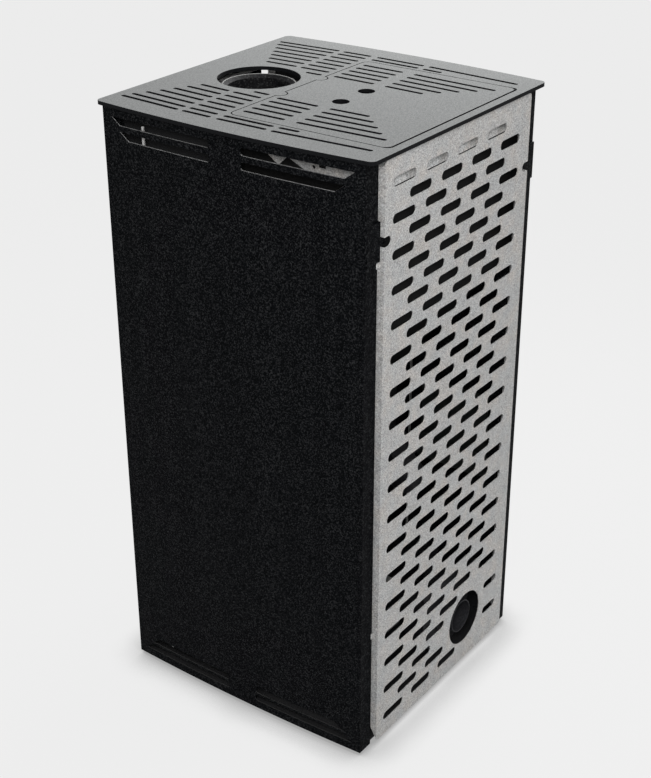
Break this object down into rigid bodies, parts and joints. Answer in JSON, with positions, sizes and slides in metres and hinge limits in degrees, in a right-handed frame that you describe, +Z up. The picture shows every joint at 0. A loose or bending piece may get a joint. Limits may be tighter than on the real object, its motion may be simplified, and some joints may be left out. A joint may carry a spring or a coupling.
{
  "type": "pellet stove",
  "caption": "Free-standing pellet stove with louvred black side panels, a pierced rear panel, a grey slotted top with hopper lid and a top flue outlet.",
  "frame": {"origin": "on the floor between the four feet, below the middle of the top plate", "axes": "+Z up, -Y towards the door and fire, +Y towards the pierced rear panel, +X to the right as seen from the front"},
  "size_m": [0.498, 0.5503, 1.013],
  "materials": {
    "casing_black": "fine matt textured black paint",
    "top_grey": "satin grey paint with a fine texture",
    "galvanised_steel": "bare galvanised sheet, mottled",
    "firebox_steel": "heat-resistant dark paint",
    "hopper_black": "plain black paint",
    "lining_stone": "pressed vermiculite board, matt",
    "cast_pot": "raw casting",
    "bright_steel": "bare machined steel",
    "collar_steel": "bare rolled tube",
    "door_glass": "heat-proof ceramic glass, lightly smoked",
    "display_glass": "dark gloss window",
    "rope_seal": "woven glass-fibre rope",
    "rubber_black": "matt rubber",
    "fascia_black": "fine matt black plastic",
    "button_grey": "satin grey plastic",
    "board_black": "circuit board with a black mask",
    "motor_black": "semi-gloss black enamel"
  },
  "bodies": {
    "stove": {"base_plate": "casing_black", "feet": "rubber_black", "support_legs": "casing_black", "rear_uprights": "casing_black", "side_panel_left": "casing_black", "side_panel_right": "casing_black", "side_ribs": "galvanised_steel", "rear_panel": "galvanised_steel", "panel_catches": "casing_black", "front_header": "casing_black", "header_rail": "galvanised_steel", "lower_front_panel": "casing_black", "top_plate": "top_grey", "hopper": "hopper_black", "hopper_rim": "galvanised_steel", "hopper_grille": "bright_steel", "auger_tube": "firebox_steel", "auger_motor": "motor_black", "pellet_chute": "firebox_steel", "combustion_chamber": "firebox_steel", "exchanger_fins": "firebox_steel", "rear_lining": "lining_stone", "side_linings": "lining_stone", "baffle_plate": "lining_stone", "pot_air_box": "firebox_steel", "igniter": "bright_steel", "ash_bay": "firebox_steel", "door_hinges": "casing_black", "flue_duct": "firebox_steel", "flue_collar": "collar_steel", "smoke_probe": "bright_steel", "air_inlet_spigot": "motor_black", "blower_housing": "motor_black", "blower_motor": "motor_black", "air_duct": "casing_black", "room_fan_housing": "galvanised_steel", "room_fan_motor": "motor_black", "control_board": "board_black", "control_fascia": "fascia_black", "display_pane": "display_glass", "mains_inlet": "fascia_black"},
    "door": {"door_frame": "casing_black", "door_glass": "door_glass", "glass_gasket": "rope_seal", "glass_clips": "bright_steel", "door_gasket": "rope_seal"},
    "handle": {"door_handle": "bright_steel", "latch_spindle": "bright_steel"},
    "lid": {"hopper_lid": "top_grey", "lid_hinge_pins": "bright_steel"},
    "ash_drawer": {"ash_drawer": "galvanised_steel", "ash_drawer_front": "casing_black"},
    "burn_pot": {"burn_pot": "cast_pot"},
    "auger": {"auger_screw": "bright_steel"},
    "blower_wheel": {"blower_impeller": "bright_steel"},
    "room_fan_wheel": {"room_fan_impeller": "bright_steel"},
    "rocker": {"power_switch": "fascia_black"},
    "key_power": {"button_power": "button_grey"},
    "key_minus": {"button_minus": "button_grey"},
    "key_plus": {"button_plus": "button_grey"}
  },
  "joints": [
    {"name": "door_hinge", "type": "hinge", "parent": "stove", "child": "door", "pos_m": [0.196, -0.249, 0.592], "axis": [0, 0, 1], "range_deg": [0, 110]},
    {"name": "handle_turn", "type": "hinge", "parent": "door", "child": "handle", "pos_m": [-0.178, -0.256, 0.592], "axis": [0, 1, 0], "range_deg": [0, 45]},
    {"name": "lid_hinge", "type": "hinge", "parent": "stove", "child": "lid", "pos_m": [0, 0.2287, 1.01], "axis": [-1, 0, 0], "range_deg": [0, 80]},
    {"name": "ash_drawer_slide", "type": "slide", "parent": "stove", "child": "ash_drawer", "axis": [0, -1, 0], "range_m": [0, 0.16]},
    {"name": "burn_pot_lift", "type": "slide", "parent": "stove", "child": "burn_pot", "axis": [0, 0, 1], "range_m": [0, 0.06]},
    {"name": "auger_spin", "type": "hinge", "parent": "stove", "child": "auger", "pos_m": [0, 0.125, 0.435], "axis": [0, -0.7071, 0.7071], "continuous": true},
    {"name": "blower_spin", "type": "hinge", "parent": "stove", "child": "blower_wheel", "pos_m": [-0.0712, 0.2, 0.102], "axis": [0, 1, 0], "continuous": true},
    {"name": "room_fan_spin", "type": "hinge", "parent": "stove", "child": "room_fan_wheel", "pos_m": [0, 0.058, 0.06], "axis": [1, 0, 0], "continuous": true},
    {"name": "power_switch_rock", "type": "hinge", "parent": "stove", "child": "rocker", "pos_m": [-0.2348, 0.17, 0.095], "axis": [0, 1, 0], "range_deg": [-12, 0]},
    {"name": "button_power_press", "type": "slide", "parent": "stove", "child": "key_power", "axis": [0, 1, 0], "range_m": [0, 0.0012], "stiffness_N_per_m": 400},
    {"name": "button_minus_press", "type": "slide", "parent": "stove", "child": "key_minus", "axis": [0, 1, 0], "range_m": [0, 0.0012], "stiffness_N_per_m": 400},
    {"name": "button_plus_press", "type": "slide", "parent": "stove", "child": "key_plus", "axis": [0, 1, 0], "range_m": [0, 0.0012], "stiffness_N_per_m": 400}
  ]
}
